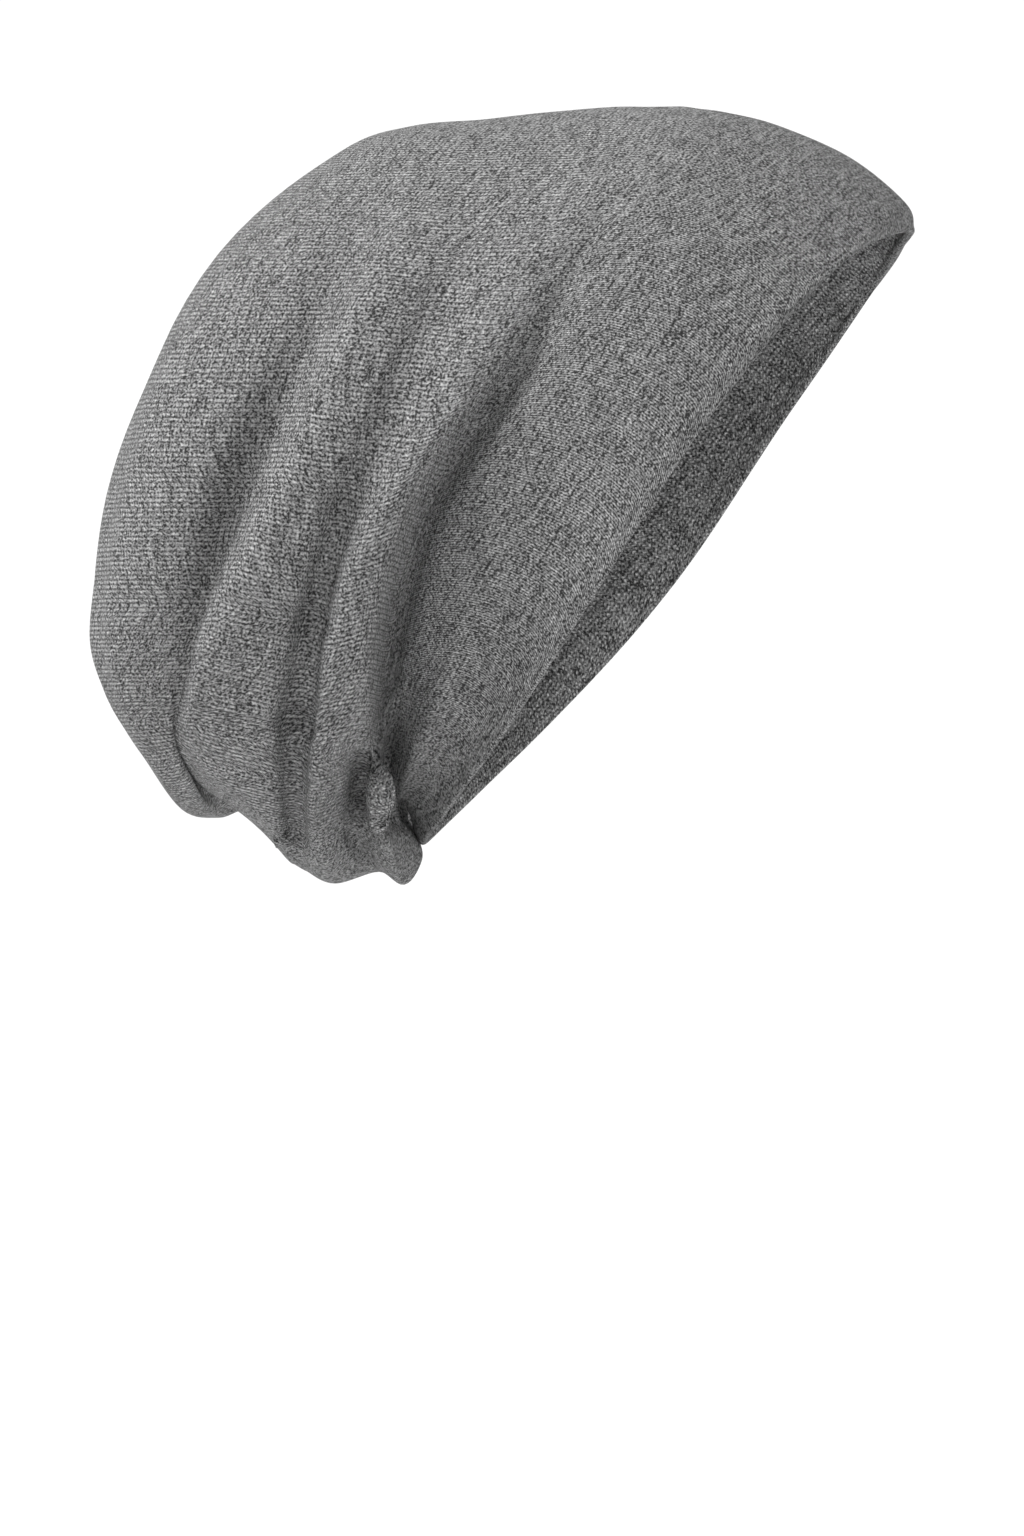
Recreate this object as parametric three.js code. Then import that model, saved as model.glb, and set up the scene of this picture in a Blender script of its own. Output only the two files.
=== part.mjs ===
// A slouchy beanie of fine grey jersey, in the form that a head gives it: a smooth panel round
// the head, then the slack crown, which hangs behind in three soft folds and a rounded bag.
// It is one doubled tube of cloth, folded at the rim, so it is one closed wall, open at the rim.
//
// Millimetres, +Z up, the forehead towards -Y, the wearer's right towards -X. The origin is the
// middle of the rim's opening.
import * as THREE from "three";

const RIM_LENGTH = 208; // across the opening, from forehead to nape
const RIM_TILT = 51; // degrees that the rim climbs from nape to forehead
const CROWN_WIDTH = 170; // side to side, at the widest place round the head
const BAG_DEPTH = 140; // from the rim's plane to the furthest cloth behind it
const FOLD_DEPTH = 12; // how far the deep creases sink into the sides
const WALL = 2; // two layers of jersey

const AROUND = 64; // faces round each section
const STEPS = 2; // faces from one line of the table to the next
const RIM_TURN = [45, 90, 135]; // degrees round the folded edge of the rim

// The angles round a section where the table's back and dip columns hold, in degrees from the
// section's low point behind the neck up to its top. Both are 0 at the low point and at the top.
const COLUMN_ANGLES = [25, 37, 50, 80, 115, 150];

// How a section narrows towards the neck, as a share of its pinch, at the same angles.
const PINCH_SHAPE = [1, 0.9, 0.78, 0.3, 0, 0];

// One row for each line of the cloth, from the rim to the end of the bag.
//   top, low  the section's ends in the mirror plane, each [along the rim, away from the rim],
//             as shares of half the rim's length and of the bag's depth
//   wide      half width of the section, as a share of half the crown's width
//   pinch     how much narrower it is at the neck, as a share of its own width
//   back      how far the section bends away from the rim, shares of the bag's depth
//   dip       how deep a crease sinks there, as shares of the fold depth
const LINES = [
  { line: "rim", top: [1, 0], low: [-1, 0], wide: 1, pinch: 0.68,
    back: [-0.006, -0.01, -0.015, -0.01, 0.024, 0.023], dip: [0, -0.2, -0.42, -0.5, 0, -0.67] },
  { line: "band", top: [1.037, 0.046], low: [-0.976, 0.038], wide: 1, pinch: 0.64,
    back: [-0.016, -0.026, -0.026, -0.019, 0.014, -0.012], dip: [0, -0.16, -0.33, -0.42, 0, -0.42] },
  { line: "temple", top: [1.037, 0.178], low: [-0.965, 0.061], wide: 1, pinch: 0.59,
    back: [-0.021, -0.034, -0.042, -0.041, -0.014, -0.008], dip: [0, -0.08, -0.17, -0.25, 0, -0.17] },
  { line: "panel", top: [0.986, 0.32], low: [-0.961, 0.069], wide: 1, pinch: 0.53,
    back: [-0.009, -0.019, -0.027, -0.032, -0.038, -0.023], dip: [0, 0, 0, 0, 0, 0] },
  { line: "shoulder", top: [0.931, 0.409], low: [-0.971, 0.06], wide: 1, pinch: 0.48,
    back: [0.006, 0.007, 0.006, 0.002, -0.029, -0.024], dip: [0.17, 0.12, 0.08, 0.12, 0.08, 0] },
  { line: "neck_crease", top: [0.894, 0.455], low: [-0.998, 0.002], wide: 1, pinch: 0.45,
    back: [0.066, 0.104, 0.099, 0.101, -0.004, -0.019], dip: [1.17, 2, 1.25, 0.5, 0.17, 0] },
  { line: "knob_front", top: [0.873, 0.481], low: [-1.035, -0.025], wide: 0.988, pinch: 0.42,
    back: [0.065, 0.109, 0.129, 0.14, 0.016, -0.017], dip: [0.33, 0.83, 1.75, 1.12, 0.29, 0] },
  { line: "knob", top: [0.847, 0.505], low: [-1.107, -0.027], wide: 0.988, pinch: 0.36,
    back: [0.031, 0.07, 0.121, 0.14, 0.023, -0.019], dip: [-0.67, 0.15, 1.83, 1.29, 0.38, 0] },
  { line: "first_crease", top: [0.815, 0.534], low: [-1.122, 0.025], wide: 0.988, pinch: 0.08,
    back: [0.051, 0.069, 0.077, 0.111, 0.011, -0.026], dip: [2.17, 3, 1.25, 0.17, 0.08, 0] },
  { line: "first_fold", top: [0.757, 0.587], low: [-1.216, 0.076], wide: 1, pinch: 0.05,
    back: [0.02, 0.038, 0.068, 0.087, 0.003, -0.034], dip: [0, 0, 0, 0, -0.04, 0] },
  { line: "second_crease", top: [0.651, 0.67], low: [-1.236, 0.13], wide: 0.988, pinch: 0,
    back: [0.01, 0.024, 0.051, 0.069, 0.027, -0.023], dip: [1.42, 1.3, 1.17, 0.67, 0.3, 0.02] },
  { line: "second_front", top: [0.593, 0.713], low: [-1.24, 0.152], wide: 0.988, pinch: 0,
    back: [0.024, 0.053, 0.086, 0.08, 0.036, -0.009], dip: [0.17, 0.17, 0.17, 0.12, 0.07, 0.01] },
  { line: "second_fold", top: [0.529, 0.76], low: [-1.242, 0.178], wide: 0.976, pinch: 0,
    back: [0.038, 0.149, 0.183, 0.131, 0.065, 0.021], dip: [0, 0, 0, 0, 0, 0] },
  { line: "third_crease", top: [0.4, 0.86], low: [-1.208, 0.284], wide: 0.941, pinch: 0,
    back: [0.117, 0.132, 0.117, 0.093, 0.011, 0.001], dip: [0.08, 0.12, 0.25, 0.92, 0.75, 0.08] },
  { line: "third_fold", top: [0.245, 0.931], low: [-1.274, 0.326], wide: 0.882, pinch: 0,
    back: [0.029, 0.071, 0.096, 0.083, 0.031, -0.004], dip: [0, 0, 0, 0, 0, 0] },
  { line: "back", top: [-0.086, 0.98], low: [-1.315, 0.385], wide: 0.776, pinch: 0,
    back: [0.015, 0.049, 0.086, 0.117, 0.071, 0.024], dip: [0, 0, 0, 0, 0, 0] },
  { line: "back_dent", top: [-0.536, 0.934], low: [-1.277, 0.491], wide: 0.6, pinch: 0,
    back: [0, 0.011, 0.023, 0.045, 0.03, 0.009], dip: [0, 0, 0, 0.17, 0.17, 0] },
  { line: "bag", top: [-0.827, 0.851], low: [-1.235, 0.572], wide: 0.4, pinch: 0,
    back: [0, 0.005, 0.009, 0.023, 0.015, 0.004], dip: [0, 0, 0, 0, 0, 0] },
  { line: "bag_end", top: [-1.056, 0.748], low: [-1.12, 0.702], wide: 0.082, pinch: 0,
    back: [0, 0, 0, 0, 0, 0], dip: [0, 0, 0, 0, 0, 0] },
];

const radians = THREE.MathUtils.degToRad;

// A row's numbers at the column angles, with its values at the low point and at the top.
function roundSection(low, values, top) {
  return [low, ...values, top];
}

// A smooth curve through such values, level at both ends so that the cloth has no edge there.
function valueAt(values, degrees) {
  const knots = [0, ...COLUMN_ANGLES, 180];
  const slope = (j) => {
    if (j === 0 || j === knots.length - 1) return 0;
    const before = knots[j] - knots[j - 1];
    const after = knots[j + 1] - knots[j];
    const rise = (values[j] - values[j - 1]) / before;
    const next = (values[j + 1] - values[j]) / after;
    return (rise * after + next * before) / (before + after);
  };
  let j = 0;
  while (j < knots.length - 2 && degrees > knots[j + 1]) j += 1;
  const span = knots[j + 1] - knots[j];
  const t = (degrees - knots[j]) / span;
  const start = (2 * t ** 3 - 3 * t ** 2 + 1) * values[j];
  const end = (3 * t ** 2 - 2 * t ** 3) * values[j + 1];
  const leaving = (t ** 3 - 2 * t ** 2 + t) * span * slope(j);
  const arriving = (t ** 3 - t ** 2) * span * slope(j + 1);
  return start + end + leaving + arriving;
}

// A row of the table in millimetres, as one list of numbers that can be blended.
function sized(row) {
  const along = RIM_LENGTH / 2;
  const half = row.wide * CROWN_WIDTH / 2;
  const narrow = PINCH_SHAPE.map((share, k) => half * row.pinch * share + row.dip[k] * FOLD_DEPTH);
  const back = row.back.map((share) => share * BAG_DEPTH);
  return [
    row.top[0] * along, row.top[1] * BAG_DEPTH, row.low[0] * along, row.low[1] * BAG_DEPTH,
    half, ...back, ...narrow,
  ];
}

// The rows of the table, with smooth rows between them.
function blended(rows) {
  const before = rows[0].map((value, k) => 2 * value - rows[1][k]);
  const last = rows.length - 1;
  const after = rows[last].map((value, k) => 2 * value - rows[last - 1][k]);
  const padded = [before, ...rows, after];
  const out = [];
  for (let i = 0; i < last * STEPS; i += 1) {
    const first = Math.floor(i / STEPS);
    const t = (i % STEPS) / STEPS;
    const [a, b, c, d] = padded.slice(first, first + 4);
    out.push(b.map((value, k) => 0.5 * (2 * value + (c[k] - a[k]) * t
      + (2 * a[k] - 5 * value + 4 * c[k] - d[k]) * t ** 2
      + (3 * value - a[k] - 3 * c[k] + d[k]) * t ** 3)));
  }
  out.push(rows[last]);
  return out;
}

// A place in the mirror plane, from its distance along the rim and its distance away from it.
function inMirrorPlane(along, away) {
  const tilt = radians(RIM_TILT);
  const y = away * Math.sin(tilt) - along * Math.cos(tilt);
  const z = away * Math.cos(tilt) + along * Math.sin(tilt);
  return new THREE.Vector3(0, y, z);
}

// The ring of points of one section, round the head and back to the low point.
function section(row) {
  const top = inMirrorPlane(row[0], row[1]);
  const low = inMirrorPlane(row[2], row[3]);
  const half = row[4];
  const bends = row.slice(5, 5 + COLUMN_ANGLES.length);
  const narrows = row.slice(5 + COLUMN_ANGLES.length);
  const bend = roundSection(0, bends, 0);
  const narrow = roundSection(narrows[0], narrows, 0);
  const rise = top.clone().sub(low);
  const backwards = new THREE.Vector3(0, rise.z, -rise.y).normalize();
  const ring = [];
  for (let j = 0; j < AROUND; j += 1) {
    const turn = 360 * j / AROUND;
    const degrees = Math.min(turn, 360 - turn);
    const point = low.clone().addScaledVector(rise, (1 - Math.cos(radians(degrees))) / 2);
    point.addScaledVector(backwards, valueAt(bend, degrees));
    point.x = -(half - valueAt(narrow, degrees)) * Math.sin(radians(turn));
    ring.push(point);
  }
  return ring;
}

function middle(ring) {
  const sum = new THREE.Vector3();
  ring.forEach((point) => sum.add(point));
  return sum.divideScalar(ring.length);
}

// The direction out of the cloth at one point of the outer rings.
function outwards(rings, i, j) {
  const before = rings[Math.max(i - 1, 0)][j];
  const after = rings[Math.min(i + 1, rings.length - 1)][j];
  const left = rings[i][(j + AROUND - 1) % AROUND];
  const right = rings[i][(j + 1) % AROUND];
  return right.clone().sub(left).cross(after.clone().sub(before)).normalize();
}

// The inner face of the cloth: every ring moved inwards by the wall.
function innerFace(rings) {
  return rings.map((ring, i) => ring.map((point, j) => {
    return point.clone().addScaledVector(outwards(rings, i, j), -WALL);
  }));
}

// The folded edge of the rim, a half round from the outer face to the inner one.
function foldedEdge(outer, inner) {
  return RIM_TURN.map((degrees) => outer[0].map((point, j) => {
    const centre = point.clone().add(inner[0][j]).multiplyScalar(0.5);
    const out = point.clone().sub(outer[1][j]).normalize();
    const turned = centre.clone().addScaledVector(point.clone().sub(centre), Math.cos(radians(degrees)));
    return turned.addScaledVector(out, WALL / 2 * Math.sin(radians(degrees)));
  }));
}

// One closed skin over a row of rings, with a point in the middle of each end.
function closedSkin(rings, start, end) {
  const corners = [start, ...rings.flat(), end];
  const last = corners.length - 1;
  const faces = [];
  const at = (i, j) => 1 + i * AROUND + (j % AROUND);
  for (let j = 0; j < AROUND; j += 1) {
    faces.push(0, at(0, j), at(0, j + 1));
    faces.push(last, at(rings.length - 1, j + 1), at(rings.length - 1, j));
    for (let i = 0; i < rings.length - 1; i += 1) {
      faces.push(at(i, j), at(i + 1, j), at(i + 1, j + 1));
      faces.push(at(i, j), at(i + 1, j + 1), at(i, j + 1));
    }
  }
  const geometry = new THREE.BufferGeometry().setFromPoints(corners);
  geometry.setIndex(faces);
  geometry.computeVertexNormals();
  return geometry;
}

function beanieShell() {
  const outer = blended(LINES.map(sized)).map(section);
  const inner = innerFace(outer);
  const edge = foldedEdge(outer, inner);
  const rings = [...outer.slice().reverse(), ...edge, ...inner];
  const outerEnd = middle(outer[outer.length - 1]);
  const innerEnd = middle(inner[inner.length - 1]);
  return closedSkin(rings, outerEnd, innerEnd);
}

const jersey = new THREE.MeshStandardMaterial({ color: 0x7a7a7a, roughness: 0.95, metalness: 0 });

const shell = new THREE.Mesh(beanieShell(), jersey);
shell.name = "jersey_shell";

const beanie = new THREE.Group();
beanie.name = "slouchy_beanie";
beanie.add(shell);

export default beanie;
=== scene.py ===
"""A slouchy beanie of heather grey jersey, seen from the wearer's right side.

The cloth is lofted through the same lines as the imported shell, in finer steps, with the soft
dents, creases and gathers that thin jersey has. Metres, +Z up, forehead towards -Y, bag towards +Y,
seen side towards -X. The far half mirrors the near one, but for the dents.
"""
import math

import bpy
import numpy as np
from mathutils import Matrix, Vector
from mathutils.noise import noise as smooth_noise


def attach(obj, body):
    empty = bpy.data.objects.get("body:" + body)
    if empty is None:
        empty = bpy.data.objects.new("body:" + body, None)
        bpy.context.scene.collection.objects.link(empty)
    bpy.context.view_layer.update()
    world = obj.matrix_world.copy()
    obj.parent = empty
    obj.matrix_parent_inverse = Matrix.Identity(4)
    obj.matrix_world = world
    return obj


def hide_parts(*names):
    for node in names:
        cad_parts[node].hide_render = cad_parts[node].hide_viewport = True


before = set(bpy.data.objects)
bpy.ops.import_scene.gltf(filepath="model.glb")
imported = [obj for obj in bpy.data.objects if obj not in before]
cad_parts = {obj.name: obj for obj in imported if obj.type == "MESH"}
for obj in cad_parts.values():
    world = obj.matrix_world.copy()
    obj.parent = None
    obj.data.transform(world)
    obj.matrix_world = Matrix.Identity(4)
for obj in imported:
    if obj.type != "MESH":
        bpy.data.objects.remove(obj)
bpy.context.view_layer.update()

# The cloth's sizes, in metres and degrees.
RIM_LENGTH = 0.208
RIM_TILT = math.radians(51)
CROWN_WIDTH = 0.170
BAG_DEPTH = 0.140
FOLD_DEPTH = 0.012
WALL = 0.002

# Faces round each section, faces from one line of the table to the next outside and inside, and
# faces across the folded edge.
AROUND = 288
OUTER_STEPS = 8
INNER_STEPS = 4
EDGE_TURNS = 6

# A section's points start at its low end and go round by its near half. These are the angles of
# all points, the faces from the low end to the top, and the points of the near half.
FULL_TURN = 360
TURN = FULL_TURN * np.arange(AROUND) / AROUND
HALFWAY = AROUND // 2
NEAR = HALFWAY + 1

# The angles at which the table gives a section's shape, and how much of the pinch each has.
COLUMN_ANGLES = (25, 37, 50, 80, 115, 150)
PINCH_SHAPE = (1, 0.9, 0.78, 0.3, 0, 0)

# name, top, low, half width, pinch, then back and dip at the column angles.
# top and low are [along, away from] the rim, in shares of half its length and of the bag's depth.
# back is in shares of the bag's depth, the width of half the crown's, dips of the fold depth.
# The pinch is the share of the half width by which the low end is drawn in.
LINES = (
    ("rim", (1, 0), (-1, 0), 1, 0.68,
     (-0.006, -0.01, -0.015, -0.01, 0.024, 0.023), (0, -0.2, -0.42, -0.5, 0, -0.67)),
    ("band", (1.037, 0.046), (-0.976, 0.038), 1, 0.64,
     (-0.016, -0.026, -0.026, -0.019, 0.014, -0.012), (0, -0.16, -0.33, -0.42, 0, -0.42)),
    ("temple", (1.037, 0.178), (-0.965, 0.061), 1, 0.59,
     (-0.021, -0.034, -0.042, -0.041, -0.014, -0.008), (0, -0.08, -0.17, -0.25, 0, -0.17)),
    ("panel", (0.986, 0.32), (-0.961, 0.069), 1, 0.53,
     (-0.009, -0.019, -0.027, -0.032, -0.038, -0.023), (0, 0, 0, 0, 0, 0)),
    ("shoulder", (0.931, 0.409), (-0.971, 0.06), 1, 0.48,
     (0.006, 0.007, 0.006, 0.002, -0.029, -0.024), (0.17, 0.12, 0.08, 0.12, 0.08, 0)),
    ("neck_crease", (0.894, 0.455), (-0.998, 0.002), 1, 0.45,
     (0.066, 0.104, 0.099, 0.101, -0.004, -0.019), (1.17, 2, 1.25, 0.5, 0.17, 0)),
    ("knob_front", (0.873, 0.481), (-1.035, -0.025), 0.988, 0.42,
     (0.065, 0.109, 0.129, 0.14, 0.016, -0.017), (0.33, 0.83, 1.75, 1.12, 0.29, 0)),
    ("knob", (0.847, 0.505), (-1.107, -0.027), 0.988, 0.36,
     (0.031, 0.07, 0.121, 0.14, 0.023, -0.019), (-0.67, 0.15, 1.83, 1.29, 0.38, 0)),
    ("first_crease", (0.815, 0.534), (-1.122, 0.025), 0.988, 0.08,
     (0.051, 0.069, 0.077, 0.111, 0.011, -0.026), (2.17, 3, 1.25, 0.17, 0.08, 0)),
    ("first_fold", (0.757, 0.587), (-1.216, 0.076), 1, 0.05,
     (0.02, 0.038, 0.068, 0.087, 0.003, -0.034), (0, 0, 0, 0, -0.04, 0)),
    ("second_crease", (0.651, 0.67), (-1.236, 0.13), 0.988, 0,
     (0.01, 0.024, 0.051, 0.069, 0.027, -0.023), (1.42, 1.3, 1.17, 0.67, 0.3, 0.02)),
    ("second_front", (0.593, 0.713), (-1.24, 0.152), 0.988, 0,
     (0.024, 0.053, 0.086, 0.08, 0.036, -0.009), (0.17, 0.17, 0.17, 0.12, 0.07, 0.01)),
    ("second_fold", (0.529, 0.76), (-1.242, 0.178), 0.976, 0,
     (0.038, 0.149, 0.183, 0.131, 0.065, 0.021), (0, 0, 0, 0, 0, 0)),
    ("third_crease", (0.4, 0.86), (-1.208, 0.284), 0.941, 0,
     (0.117, 0.132, 0.117, 0.093, 0.011, 0.001), (0.08, 0.12, 0.25, 0.92, 0.75, 0.08)),
    ("third_fold", (0.245, 0.931), (-1.274, 0.326), 0.882, 0,
     (0.029, 0.071, 0.096, 0.083, 0.031, -0.004), (0, 0, 0, 0, 0, 0)),
    ("back", (-0.086, 0.98), (-1.315, 0.385), 0.776, 0,
     (0.015, 0.049, 0.086, 0.117, 0.071, 0.024), (0, 0, 0, 0, 0, 0)),
    ("back_dent", (-0.536, 0.934), (-1.277, 0.491), 0.6, 0,
     (0, 0.011, 0.023, 0.045, 0.03, 0.009), (0, 0, 0, 0.17, 0.17, 0)),
    ("bag", (-0.827, 0.851), (-1.235, 0.572), 0.4, 0,
     (0, 0.005, 0.009, 0.023, 0.015, 0.004), (0, 0, 0, 0, 0, 0)),
    ("bag_end", (-1.056, 0.748), (-1.12, 0.702), 0.082, 0,
     (0, 0, 0, 0, 0, 0), (0, 0, 0, 0, 0, 0)),
)

# A row of the table in metres, as one array: its top, its low end, its half width, how far it bows
# back at the column angles, and how much narrower it is there.
TOP = slice(0, 2)
LOW = slice(2, 4)
HALF_WIDTH = slice(4, 5)
BOWS = slice(5, 5 + len(COLUMN_ANGLES))
NARROWINGS = slice(BOWS.stop, None)

# The line of the table behind which the wales run level round the back of the crown. At the
# gathered low end they follow the gathers as far as the first angle and run level from the second,
# and the gathers fade out between two more lines. The crown is taken to be at least THINNEST wide
# and deep everywhere, since the wales' places are divided by both.
LEVEL_BEHIND = "second_fold"
GATHERED_DEGREES = (10, 45)
GATHERS_FADE = ("third_fold", "back_dent")
THINNEST = 0.004

# Soft dents in the slack cloth: how deep, how large across the head, from one fold to the next and
# along the folds, how the folds slope, the line of the table from which the cloth is all slack, and
# the share of the depth that the dents have in the stretched panel before it.
DENT_DEPTH = 0.0026
DENT_SIZES = (0.035, 0.02, 0.055)
FOLD_SLOPE = math.radians(68)
SLACK_BEHIND = "first_fold"
PANEL_DENTS = 0.25

# Short sharp creases at the nape's knot and along the first fold's left edge, on both sides of the
# head: name, from and to as [back, up] in the side view, width and depth.
CREASES = (
    ("knot_front", (0.0740, -0.0650), (0.0708, -0.0750), 0.0024, 0.0030),
    ("knot_pit", (0.0760, -0.0590), (0.0772, -0.0670), 0.0028, 0.0024),
    ("knot_nick", (0.0804, -0.0787), (0.0776, -0.0845), 0.0016, 0.0020),
    ("knot_side", (0.0850, -0.0690), (0.0872, -0.0800), 0.0030, 0.0015),
    ("fold_edge", (0.0905, -0.0500), (0.0945, -0.0790), 0.0026, 0.0030),
    ("fold_side", (0.0840, -0.0230), (0.0905, -0.0500), 0.0030, 0.0024),
    ("fold_top", (0.0730, 0.0100), (0.0840, -0.0230), 0.0034, 0.0020),
)

# The knit: a wale is one column of stitches, a course one row of them, each stitch a pair of legs.
WALE = 0.0013
WALES = 450
COURSE = 0.0011
LEGS = 2
CLOTH_ROUND = WALES * WALE
CLOTH_MAP = "cloth"

# The knit's relief: how steep the legs are, in courses for a wale's width, how far the courses
# close the gaps between the legs, how high the dots of the inside stand, how unlike the gaps are in
# depth, and the height of the whole.
LEG_SLOPE = 1.2
COURSE_SHARE = 0.6
DOT_SHARE = 0.7
GAP_CHANCE = 0.6
KNIT_RELIEF = 0.0004

# How far back from the rim the two legs of a stitch begin to close up, and are one round ridge.
SLACK_FROM = 0.045
SLACK_FULL = 0.085

# How far the stitches stray from straight lines, and how often in a metre.
WOBBLE = 0.0009
WOBBLE_SCALE = 70

# Noise as the material uses it: how fine it gets, and its middle value.
NOISE_DETAIL = 1
NOISE_MIDDLE = 0.5

# The heather yarn: its middle grey, then each kind of fleck with its strength and its size round
# the head and back from the rim, and a fine grain that runs no way, with its strength and its count
# in a metre.
GREY = 0.271
FLECKS = (
    ("fibres", 4.2, 0.0006, 0.0007),
    ("streaks", 1.9, 0.008, 0.0012),
    ("clouds", 0.2, 0.03, 0.006),
)
GRAIN = 3.2
GRAIN_SCALE = 1500

# How unlike the stitches are in tone, the painted light that makes the inside's yarn lighter, the
# painted shade that darkens the gaps between the stitches, and the darkest share of the middle
# grey.
STITCH_CHANCE = 0.9
PAINTED_INNER_LIGHT = 0.4
PAINTED_GAP_SHADE = 0.85
DARKEST = 0.1
CLOTH_ROUGHNESS = 0.9

# The camera looks level at the wearer's right side, a little from the front. The picture is
# PICTURE_HEIGHT high at the hat, and its middle is [right, up] of the frame's origin.
CAMERA_YAW = math.radians(7.5)
CAMERA_DISTANCE = 6.0
CAMERA_REACH = 200
PICTURE_HEIGHT = 0.4042
PICTURE_MIDDLE = (-0.0405, -0.0611)
SENSOR = 0.024
MILLIMETRES = 1000

# The floor lies this far below the frame's origin. It has one lightness where the camera sees it
# and one where it lights the hat, and the glow keeps it white in the picture.
FLOOR_DROP = 0.30
FLOOR_SIZE = 60.0
FLOOR_SEEN = 0.95
FLOOR_LIGHT = 0.85
FLOOR_GLOW = 0.12
FLOOR_ROUGHNESS = 1

# One large soft lamp, the way to it from the hat, and an even white room, which has one light for
# the hat and one where the camera sees it.
SUN_FROM = (-0.32, 0.54, 0.78)
SUN_STRENGTH = 2.4
SUN_WIDTH = math.radians(40)
WORLD_LIGHT = 0.54
ROOM_SEEN = 1.05
WHITE = (1, 1, 1, 1)


def sized(row):
    """A row of the table in metres, as one array that can be blended."""
    _, top, low, wide, pinch, back, dip = row
    half = wide * CROWN_WIDTH / 2
    narrow = [half * pinch * share + deep * FOLD_DEPTH for share, deep in zip(PINCH_SHAPE, dip)]
    along = RIM_LENGTH / 2
    ends = [top[0] * along, top[1] * BAG_DEPTH, low[0] * along, low[1] * BAG_DEPTH]
    return np.array([*ends, half, *[share * BAG_DEPTH for share in back], *narrow])


def row_of(name, steps):
    """The row that a line of the table has once there are this many steps from line to line."""
    return [line[0] for line in LINES].index(name) * steps


def blended(rows, steps):
    """The rows of the table with smooth rows between them."""
    padded = np.vstack([2 * rows[0] - rows[1], rows, 2 * rows[-1] - rows[-2]])
    places = np.arange((len(rows) - 1) * steps + 1) / steps
    first = np.minimum(places.astype(int), len(rows) - 2)
    t = (places - first)[:, None]
    a, b, c, d = (padded[first + k] for k in range(4))
    square = (2 * a - 5 * b + 4 * c - d) * t**2
    cube = (3 * b - a - 3 * c + d) * t**3
    return (2 * b + (c - a) * t + square + cube) / 2


def round_section(values, degrees):
    """Values at the low end, the column angles and the top, joined smoothly, level at both ends."""
    knots = np.array([0, *COLUMN_ANGLES, FULL_TURN / 2], float)
    gaps = np.diff(knots)
    rises = np.diff(values, axis=1) / gaps
    slopes = np.zeros_like(values)
    slopes[:, 1:-1] = (rises[:, :-1] * gaps[1:] + rises[:, 1:] * gaps[:-1]) / (gaps[:-1] + gaps[1:])
    j = np.clip(np.searchsorted(knots, degrees, side="right") - 1, 0, len(gaps) - 1)
    t = (degrees - knots[j]) / gaps[j]
    start = (2 * t**3 - 3 * t**2 + 1) * values[:, j]
    end = (3 * t**2 - 2 * t**3) * values[:, j + 1]
    leaving = (t**3 - 2 * t**2 + t) * gaps[j] * slopes[:, j]
    arriving = (t**3 - t**2) * gaps[j] * slopes[:, j + 1]
    return start + end + leaving + arriving


def sections(rows):
    """The rings of points of the sections, one ring for each row."""
    degrees = np.minimum(TURN, FULL_TURN - TURN)
    none = np.zeros((len(rows), 1))
    narrowings = rows[:, NARROWINGS]
    bend = round_section(np.hstack([none, rows[:, BOWS], none]), degrees)
    narrow = round_section(np.hstack([narrowings[:, :1], narrowings, none]), degrees)
    height = (1 - np.cos(np.radians(degrees))) / 2
    low = rows[:, None, LOW]
    rise = rows[:, None, TOP] - low
    across = np.stack([-rise[..., 1], rise[..., 0]], -1)
    across /= np.linalg.norm(across, axis=-1, keepdims=True)
    place = low + rise * height[None, :, None] + across * bend[..., None]
    along, away = place[..., 0], place[..., 1]
    x = -(rows[:, HALF_WIDTH] - narrow) * np.sin(np.radians(TURN))
    y = away * math.sin(RIM_TILT) - along * math.cos(RIM_TILT)
    z = away * math.cos(RIM_TILT) + along * math.sin(RIM_TILT)
    return np.stack([x, y, z], -1)


def outwards(rings):
    """The direction out of the cloth at each point of the rings."""
    before = np.concatenate([rings[:1], rings[:-1]])
    after = np.concatenate([rings[1:], rings[-1:]])
    side = np.roll(rings, -1, axis=1) - np.roll(rings, 1, axis=1)
    normal = np.cross(side, after - before)
    return normal / np.linalg.norm(normal, axis=-1, keepdims=True)


def creased(rings):
    """How deep the short creases sink at each point of the rings."""
    side = rings[..., 1:]
    depth = np.zeros(rings.shape[:2])
    for _, start, end, width, deep in CREASES:
        start = np.array(start)
        way = np.array(end) - start
        share = np.clip((side - start) @ way / (way @ way), 0, 1)
        gap = np.linalg.norm(side - start - share[..., None] * way, axis=-1)
        depth += deep * np.exp(-(gap / width) ** 2)
    return depth


def dented(rings, steps):
    """The rings with the creases, and with soft dents that fade at the rim and the centre line."""
    rows = np.arange(len(rings))
    slack_share = np.minimum(rows / row_of(SLACK_BEHIND, steps), 1)
    slack = PANEL_DENTS + (1 - PANEL_DENTS) * slack_share
    slack *= np.minimum(rows / steps, 1)
    aside = np.abs(np.sin(np.radians(TURN)))
    x, y, z = (rings[..., axis] for axis in range(3))
    across_folds = y * math.sin(FOLD_SLOPE) + z * math.cos(FOLD_SLOPE)
    up_folds = z * math.sin(FOLD_SLOPE) - y * math.cos(FOLD_SLOPE)
    places = np.stack([x, across_folds, up_folds], -1) / DENT_SIZES
    dents = np.array([smooth_noise(Vector(place)) for place in places.reshape(-1, 3).tolist()])
    raised = DENT_DEPTH * slack[:, None] * aside * dents.reshape(rings.shape[:2]) - creased(rings)
    return rings + outwards(rings) * raised[..., None]


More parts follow.
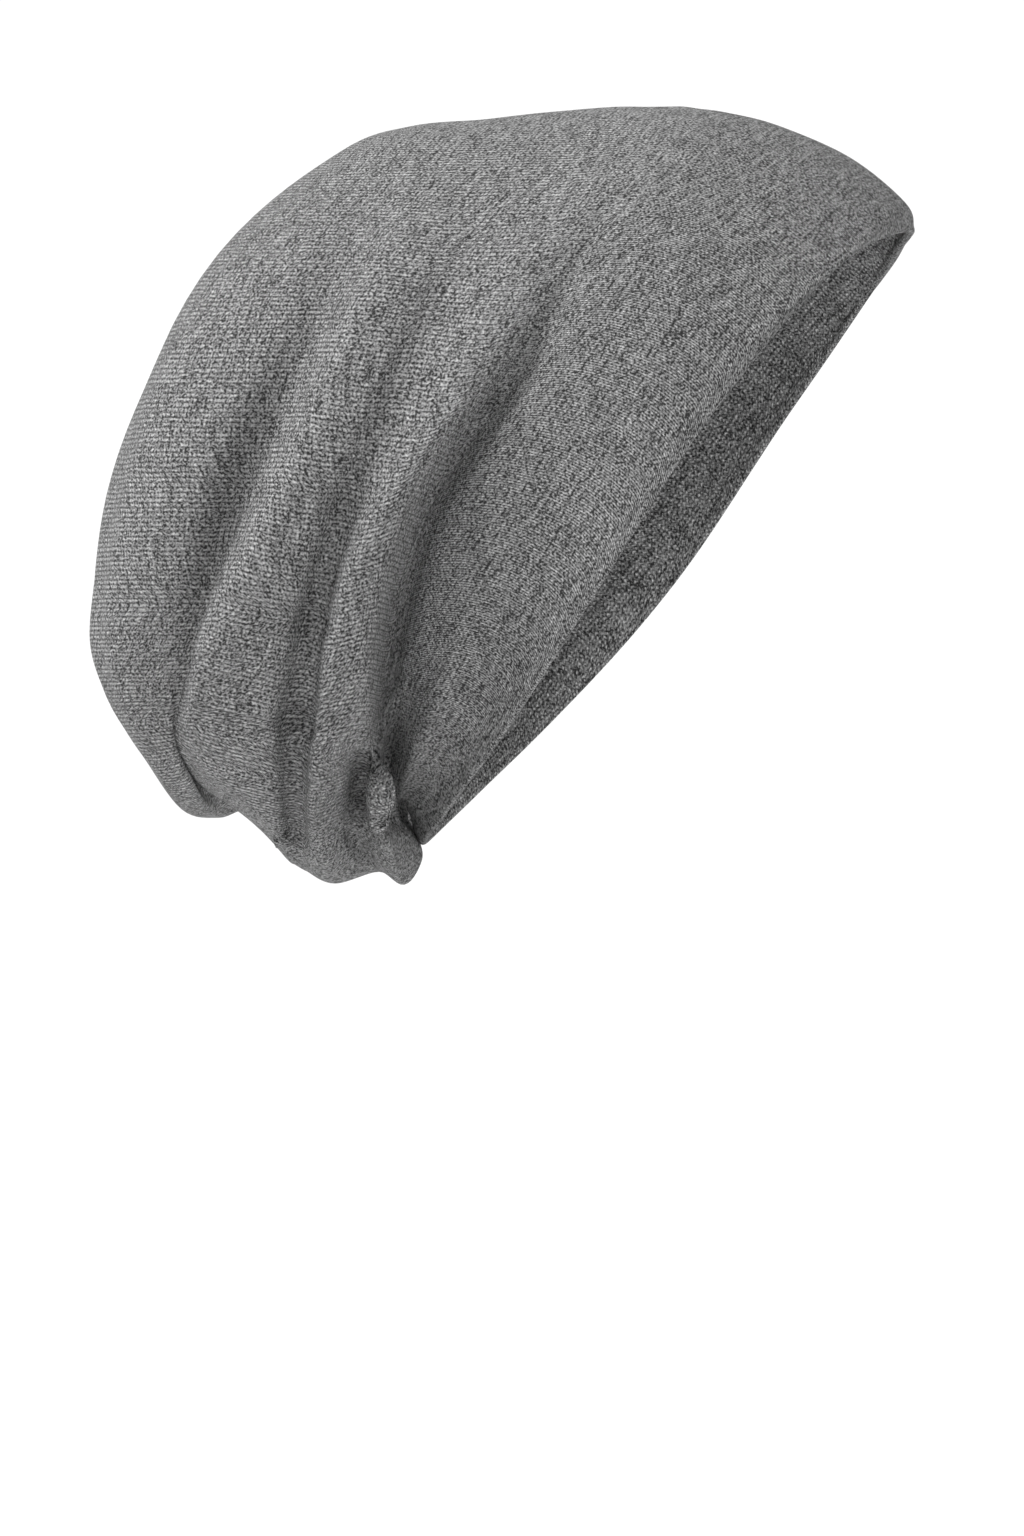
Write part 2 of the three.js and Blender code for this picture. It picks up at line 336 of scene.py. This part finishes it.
def level_places(crown, rear, crown_around, crown_back):
    """The places in the cloth of the points behind the crown's ring, for wales that run level.

    At each height the cloth goes round the back as an ellipse does, which starts at the crown's
    ring and is as wide as that ring and as deep as the hat's outline there.
    """
    outline = np.concatenate([rear[:, -1], rear[:, 0]])
    outline = outline[np.argsort(outline[:, 2])]
    level = rear[..., 2]
    wide = np.maximum(np.interp(level, crown[:, 2], -crown[:, 0]), THINNEST)
    front = np.interp(level, crown[:, 2], crown[:, 1])
    deep = np.maximum(np.interp(level, outline[:, 2], outline[:, 1]) - front, THINNEST)
    turn = np.arctan2((rear[..., 1] - front) / deep, -rear[..., 0] / wide)
    reach = turn * np.hypot(wide, deep) / math.sqrt(2)
    around = np.interp(level, crown[:, 2], crown_around)
    back = np.interp(level, crown[:, 2], crown_back) + reach
    return around, back


def cloth_places(rings, steps):
    """The near half's places in the flat cloth, in metres: round the rim, and back from it.

    The wales follow the columns as far as LEVEL_BEHIND, and run level round the back from there,
    but for the gathered low end.
    """
    start = row_of(LEVEL_BEHIND, steps)
    half = rings[:, :NEAR]
    around = np.tile(np.arange(NEAR) * CLOTH_ROUND / AROUND, (len(half), 1))
    lengths = np.linalg.norm(np.diff(half, axis=0), axis=-1)
    back = np.vstack([np.zeros_like(lengths[:1]), np.cumsum(lengths, axis=0)])
    level_around, level_back = level_places(half[start], half[start:], around[start], back[start])
    fade = [row_of(name, steps) for name in GATHERS_FADE]
    gathered = np.interp(np.arange(start, len(rings)), fade, (1, 0))[:, None]
    levelled = 1 - gathered * np.interp(TURN[:NEAR], GATHERED_DEGREES, (1, 0))
    around[start:] += levelled * (level_around - around[start:])
    back[start:] += levelled * (level_back - back[start:])
    return around, back


def folded_edge(outer, inner, turns):
    """The rings round the folded edge at these turns, from the outer face to the inner one."""
    centre = (outer[0] + inner[0]) / 2
    out = outer[0] - outer[1]
    out /= np.linalg.norm(out, axis=-1, keepdims=True)
    return np.array([
        centre + (outer[0] - centre) * math.cos(turn) + out * WALL / 2 * math.sin(turn)
        for turn in turns])


def cloth_rings():
    """The shell's rings, outer face, edge and inner face, and their places in the flat cloth."""
    table = np.array([sized(row) for row in LINES])
    outer = dented(sections(blended(table, OUTER_STEPS)), OUTER_STEPS)
    inner = dented(sections(blended(table, INNER_STEPS)), INNER_STEPS)
    inner = inner - outwards(inner) * WALL
    turns = math.pi * np.arange(1, EDGE_TURNS) / EDGE_TURNS
    outer_around, outer_back = cloth_places(outer, OUTER_STEPS)
    inner_around, inner_back = cloth_places(inner, INNER_STEPS)
    edge_around = np.tile(outer_around[0], (len(turns), 1))
    edge_back = np.tile(-turns[:, None] * WALL / 2, (1, NEAR))
    rings = np.concatenate([outer[::-1], folded_edge(outer, inner, turns), inner])
    around = np.vstack([outer_around[::-1], edge_around, inner_around])
    back = np.vstack([outer_back[::-1], edge_back, -math.pi * WALL / 2 - inner_back])
    return rings, around, back


def corner_places(around, back, rows, columns):
    """The places in the cloth of the faces' corners; the far half mirrors the near one."""
    far = columns[:, :1] >= HALFWAY
    near_column = np.where(far, AROUND - columns, columns)
    across = around[rows, near_column]
    return np.stack([np.where(far, CLOTH_ROUND - across, across), back[rows, near_column]], -1)


def side_faces(rings, around, back):
    """The faces from ring to ring, and their corners' places in the cloth."""
    grids = np.meshgrid(np.arange(len(rings) - 1), np.arange(AROUND), indexing="ij")
    row, column = (grid.ravel() for grid in grids)
    rows = np.stack([row, row + 1, row + 1, row], -1)
    columns = np.stack([column, column, column + 1, column + 1], -1)
    return rows * AROUND + columns % AROUND, corner_places(around, back, rows, columns)


def cap_faces(row, middle_point, order, around, back):
    """The faces that close one end of the rings, and their corners' places in the cloth.

    The order of the corners turns the faces outwards.
    """
    column = np.arange(AROUND)
    columns = np.stack([column, column, column + 1], -1)
    faces = row * AROUND + columns % AROUND
    faces[:, 0] = middle_point
    places = corner_places(around, back, np.full_like(columns, row), columns)
    middle = around[row].mean()
    places[:, 0, 0] = np.where(column >= HALFWAY, CLOTH_ROUND - middle, middle)
    places[:, 0, 1] = back[row].mean()
    return faces[:, order], places[:, order]


def shell_piece():
    """The hat's cloth as one closed mesh. Its UV map holds the places in the flat cloth."""
    rings, around, back = cloth_rings()
    points = np.vstack([rings.reshape(-1, 3), rings[0].mean(axis=0), rings[-1].mean(axis=0)])
    parts = (
        side_faces(rings, around, back),
        cap_faces(0, len(points) - 2, (0, 1, 2), around, back),
        cap_faces(len(rings) - 1, len(points) - 1, (0, 2, 1), around, back))
    faces = [face for corners, _ in parts for face in corners.tolist()]
    mesh = bpy.data.meshes.new("knitted_shell")
    mesh.from_pydata(points.tolist(), [], faces)
    mesh.polygons.foreach_set("use_smooth", [True] * len(faces))
    flat = mesh.uv_layers.new(name=CLOTH_MAP)
    flat.data.foreach_set("uv", np.concatenate([places.ravel() for _, places in parts]))
    mesh.update()
    piece = bpy.data.objects.new("knitted_shell", mesh)
    bpy.context.scene.collection.objects.link(piece)
    return piece


def node(tree, kind, inputs, **settings):
    """A new node, each input given as a value or as another node's output."""
    made = tree.nodes.new(kind)
    for name, value in settings.items():
        setattr(made, name, value)
    for name, value in inputs.items():
        if isinstance(value, bpy.types.NodeSocket):
            tree.links.new(value, made.inputs[name])
        else:
            made.inputs[name].default_value = value
    return made


def maths(tree, operation, *values):
    return node(tree, "ShaderNodeMath", dict(enumerate(values)), operation=operation).outputs[0]


def vector_maths(tree, operation, *values):
    made = node(tree, "ShaderNodeVectorMath", dict(enumerate(values)), operation=operation)
    return made.outputs[0]


def flat_vector(tree, x, y):
    return node(tree, "ShaderNodeCombineXYZ", {0: x, 1: y}).outputs[0]


def mixed(tree, share, first, second):
    return node(tree, "ShaderNodeMix", {"Factor": share, "A": first, "B": second}).outputs[0]


def object_place(tree):
    return node(tree, "ShaderNodeTexCoord", {}).outputs["Object"]


def noise(tree, place, scale):
    """A noise node. Its first output is a value, its second a colour."""
    inputs = {"Vector": place, "Scale": scale, "Detail": NOISE_DETAIL}
    return node(tree, "ShaderNodeTexNoise", inputs)


def place_in_cloth(tree):
    """Round and back in the flat cloth, in metres, a little uneven as loose knit is."""
    flat = node(tree, "ShaderNodeUVMap", {}, uv_map=CLOTH_MAP).outputs[0]
    drift = noise(tree, object_place(tree), WOBBLE_SCALE).outputs[1]
    centred = vector_maths(tree, "SUBTRACT", drift, (NOISE_MIDDLE,) * 3)
    moved = vector_maths(tree, "MULTIPLY_ADD", centred, (WOBBLE,) * 3, flat)
    parts = node(tree, "ShaderNodeSeparateXYZ", {0: moved})
    return parts.outputs[0], parts.outputs[1]


def arch(tree, part):
    """A round hump over a part that runs from 0 to 1."""
    return maths(tree, "SINE", maths(tree, "MULTIPLY", part, math.pi))


def on_inside(tree, back):
    """1 where the cloth has turned over the edge to the hat's inside, 0 outside."""
    return maths(tree, "LESS_THAN", back, -WALL)


def stitches(tree, around, back):
    """The knit's height from 0 to 1 outside and inside, and a chance value for each leg.

    Stretched round the head the legs lie apart; in the slack folds each wale is one round ridge.
    """
    wale = maths(tree, "DIVIDE", around, WALE)
    legs = maths(tree, "MULTIPLY", wale, LEGS)
    lift = maths(tree, "PINGPONG", wale, 1 / LEGS)
    course = maths(tree, "DIVIDE", back, COURSE)
    slanted = maths(tree, "MULTIPLY_ADD", lift, LEG_SLOPE, course)
    leg = flat_vector(tree, maths(tree, "FLOOR", legs), maths(tree, "FLOOR", slanted))
    draw = node(tree, "ShaderNodeTexWhiteNoise", {"Vector": leg}, noise_dimensions="2D")
    chance = draw.outputs[0]
    ridge = arch(tree, maths(tree, "FRACT", wale))
    pair = arch(tree, maths(tree, "FRACT", legs))
    lengthwise = arch(tree, maths(tree, "FRACT", slanted))
    slack_range = {"Value": back, "From Min": SLACK_FROM, "From Max": SLACK_FULL}
    slack = node(tree, "ShaderNodeMapRange", slack_range).outputs[0]
    between_legs = maths(tree, "SUBTRACT", 1, mixed(tree, slack, pair, ridge))
    between_courses = maths(tree, "MULTIPLY_ADD", lengthwise, -COURSE_SHARE, 1)
    open_gap = maths(tree, "MULTIPLY", between_legs, between_courses)
    depth = maths(tree, "MULTIPLY_ADD", chance, 2 * GAP_CHANCE, 1 - GAP_CHANCE)
    face = maths(tree, "SUBTRACT", 1, maths(tree, "MULTIPLY", open_gap, depth))
    bumps = maths(tree, "MULTIPLY", ridge, lengthwise)
    dots = maths(tree, "MULTIPLY_ADD", bumps, DOT_SHARE, 1 - DOT_SHARE)
    return mixed(tree, on_inside(tree, back), face, dots), chance


def speckled(tree, tone, place, scale, strength):
    """The tone made lighter and darker by noise."""
    speck = maths(tree, "SUBTRACT", noise(tree, place, scale).outputs[0], NOISE_MIDDLE)
    return maths(tree, "MULTIPLY_ADD", speck, strength, tone)


def yarn_tone(tree, around, back, height, chance):
    """The yarn's lightness against its middle grey: chance, flecks and grain, with painted shade in
    the gaps between the stitches and painted light on the inside.
    """
    tone = maths(tree, "MULTIPLY_ADD", chance, STITCH_CHANCE, 1 - STITCH_CHANCE / 2)
    for _, strength, length, width in FLECKS:
        across = maths(tree, "DIVIDE", around, length)
        lengthwise = maths(tree, "DIVIDE", back, width)
        tone = speckled(tree, tone, flat_vector(tree, across, lengthwise), 1, strength)
    tone = speckled(tree, tone, object_place(tree), GRAIN_SCALE, GRAIN)
    # Painted shade: the colour is darker where the knit is low, in the gaps between the legs.
    gaps = maths(tree, "MULTIPLY_ADD", height, PAINTED_GAP_SHADE, 1 - PAINTED_GAP_SHADE)
    # Painted light: the inside's yarn is made lighter, standing in for the light inside the crown.
    inner = maths(tree, "MULTIPLY_ADD", on_inside(tree, back), PAINTED_INNER_LIGHT, 1)
    shaded = maths(tree, "MULTIPLY", maths(tree, "MULTIPLY", tone, gaps), inner)
    return maths(tree, "MAXIMUM", shaded, DARKEST)


def jersey():
    """The heather grey knit: its tone is the colour, with painted shade in the stitches' gaps and
    painted light on the inside, and its height gives the relief.
    """
    material = bpy.data.materials.new("heather_jersey")
    material.use_nodes = True
    tree = material.node_tree
    shader = tree.nodes["Principled BSDF"]
    shader.inputs["Roughness"].default_value = CLOTH_ROUGHNESS
    around, back = place_in_cloth(tree)
    height, chance = stitches(tree, around, back)
    tone = yarn_tone(tree, around, back, height, chance)
    # This colour holds painted shade in the stitches' gaps and painted light on the inside.
    tree.links.new(maths(tree, "MULTIPLY", tone, GREY), shader.inputs["Base Color"])
    bump = {"Height": height, "Distance": KNIT_RELIEF, "Strength": 1}
    relief = node(tree, "ShaderNodeBump", bump).outputs[0]
    tree.links.new(relief, shader.inputs["Normal"])
    return material


def camera():
    """The camera at the photograph's angle, with the picture's middle as its aim."""
    data = bpy.data.cameras.new("camera")
    data.sensor_fit = "VERTICAL"
    data.sensor_height = SENSOR * MILLIMETRES
    data.lens = SENSOR * MILLIMETRES * CAMERA_DISTANCE / PICTURE_HEIGHT
    data.clip_end = CAMERA_REACH
    towards = Vector((-math.cos(CAMERA_YAW), -math.sin(CAMERA_YAW), 0))
    right = Vector((math.sin(CAMERA_YAW), -math.cos(CAMERA_YAW), 0))
    aim = right * PICTURE_MIDDLE[0] + Vector((0, 0, PICTURE_MIDDLE[1]))
    seen = bpy.data.objects.new("camera", data)
    seen.location = aim + towards * CAMERA_DISTANCE
    seen.rotation_euler = (-towards).to_track_quat("-Z", "Y").to_euler()
    bpy.context.scene.collection.objects.link(seen)
    bpy.context.scene.camera = seen


def sun():
    """The soft lamp, above and behind the hat's near side: the folds' fronts fall in shade."""
    data = bpy.data.lights.new("softbox", "SUN")
    data.energy = SUN_STRENGTH
    data.angle = SUN_WIDTH
    light = bpy.data.objects.new("softbox", data)
    light.rotation_euler = Vector(SUN_FROM).to_track_quat("Z", "Y").to_euler()
    bpy.context.scene.collection.objects.link(light)


def seen_or_not(tree, unseen, seen):
    """One value where the camera looks straight at a surface, another where it lights the hat."""
    path = tree.nodes.new("ShaderNodeLightPath")
    value = tree.nodes.new("ShaderNodeMapRange")
    value.inputs["To Min"].default_value = unseen
    value.inputs["To Max"].default_value = seen
    tree.links.new(path.outputs["Is Camera Ray"], value.inputs["Value"])
    return value.outputs["Result"]


def surroundings():
    """The even white room, which lights the hat less than it shows white behind it."""
    world = bpy.data.worlds.new("studio")
    world.use_nodes = True
    tree = world.node_tree
    background = tree.nodes["Background"]
    background.inputs["Color"].default_value = WHITE
    tree.links.new(seen_or_not(tree, WORLD_LIGHT, ROOM_SEEN), background.inputs["Strength"])
    bpy.context.scene.world = world
    bpy.context.scene.view_settings.view_transform = "Standard"


def floor():
    """The plain pale floor, well below the hat."""
    bpy.ops.mesh.primitive_plane_add(size=FLOOR_SIZE, location=(0, 0, -FLOOR_DROP))
    ground = bpy.context.object
    ground.name = "floor"
    paint = bpy.data.materials.new("pale_floor")
    paint.use_nodes = True
    tree = paint.node_tree
    shader = tree.nodes["Principled BSDF"]
    shader.inputs["Roughness"].default_value = FLOOR_ROUGHNESS
    tree.links.new(seen_or_not(tree, FLOOR_LIGHT, FLOOR_SEEN), shader.inputs["Base Color"])
    shader.inputs["Emission Color"].default_value = WHITE
    tree.links.new(seen_or_not(tree, 0, FLOOR_GLOW), shader.inputs["Emission Strength"])
    ground.data.materials.append(paint)


camera()
sun()
surroundings()
floor()
shell = shell_piece()
shell.data.materials.append(jersey())
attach(shell, "root")
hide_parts("jersey_shell")
